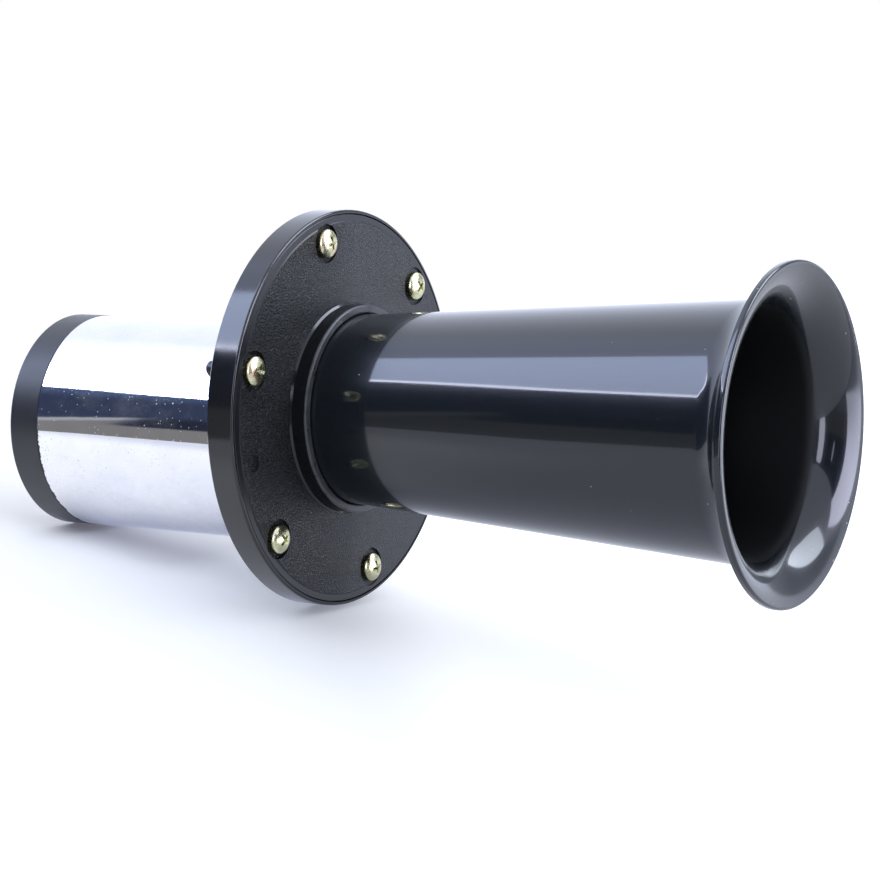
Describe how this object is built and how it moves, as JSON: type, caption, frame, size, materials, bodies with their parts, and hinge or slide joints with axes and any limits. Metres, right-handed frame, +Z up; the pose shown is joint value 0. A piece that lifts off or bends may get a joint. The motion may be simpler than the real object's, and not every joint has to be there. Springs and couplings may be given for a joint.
{
  "type": "car horn",
  "caption": "Motor-driven car horn with a flared trumpet; a toothed wheel on the motor's shaft strikes a button on a steel diaphragm.",
  "frame": {"origin": "middle of the rear cap's back face, on the motor's axis and between the two tie rods", "axes": "+X along the motor's axis towards the bell, +Z up, from the motor's axis towards the flange and trumpet axis; +Y completes a right-handed frame"},
  "size_m": [0.2791, 0.128, 0.128],
  "materials": {
    "gloss_black": "high-gloss black enamel with a few chips at the lip",
    "grained_black": "semi-gloss black with a fine leather grain",
    "satin_black": "smooth satin black enamel",
    "cap_black": "moulded, satin blue-black, slightly worn at the edge",
    "mirror_chrome": "polished chrome plate with hairline scratches and dust",
    "yellow_zinc": "yellow zinc plate",
    "bright_zinc": "bright zinc plate",
    "bright_steel": "ground",
    "spring_steel": "rolled spring steel",
    "hard_steel": "hardened, dark",
    "pressed_steel": "pressed sheet with a light oil film",
    "lamination_steel": "stack of thin laminations with dark edges",
    "copper_wire": "enamelled copper wire under varnish",
    "copper_bars": "turned copper",
    "terminal_brass": "stamped brass",
    "bearing_bronze": "sintered, oil-filled",
    "brown_laminate": "pressed resin laminate",
    "gasket_fibre": "pressed fibre",
    "ferrite": "sintered ferrite, matt",
    "carbon": "pressed carbon"
  },
  "bodies": {
    "housing": {"trumpet": "gloss_black", "front_flange": "grained_black", "front_gasket": "gasket_fibre", "diaphragm": "spring_steel", "rear_gasket": "gasket_fibre", "rear_flange": "satin_black", "flange_screws": "yellow_zinc", "striker_button": "hard_steel", "button_washers": "bright_zinc", "motor_can": "mirror_chrome", "rear_cap": "cap_black", "bearing_plate": "pressed_steel", "front_bearing": "bearing_bronze", "rear_bearing": "bearing_bronze", "magnet_left": "ferrite", "magnet_right": "ferrite", "magnet_clip_upper": "spring_steel", "magnet_clip_lower": "spring_steel", "brush_plate": "brown_laminate", "brush_holders": "terminal_brass", "brush_left": "carbon", "brush_right": "carbon", "brush_spring_left": "spring_steel", "brush_spring_right": "spring_steel", "terminals": "terminal_brass", "tie_rods": "bright_zinc", "tie_rod_nuts": "bright_zinc", "tie_rod_washers": "bright_zinc", "adjusting_screw": "bright_zinc", "lock_nut": "bright_zinc", "thrust_ball": "bright_steel"},
    "rotor": {"motor_shaft": "bright_steel", "armature_core": "lamination_steel", "armature_windings": "copper_wire", "commutator_hub": "brown_laminate", "commutator_bars": "copper_bars", "ratchet_wheel": "hard_steel", "wheel_nut": "bright_zinc", "thrust_washer": "bearing_bronze"}
  },
  "joints": [
    {"name": "rotor_spin", "type": "hinge", "parent": "housing", "child": "rotor", "pos_m": [0.0625, 0, 0], "axis": [1, 0, 0], "continuous": true}
  ]
}
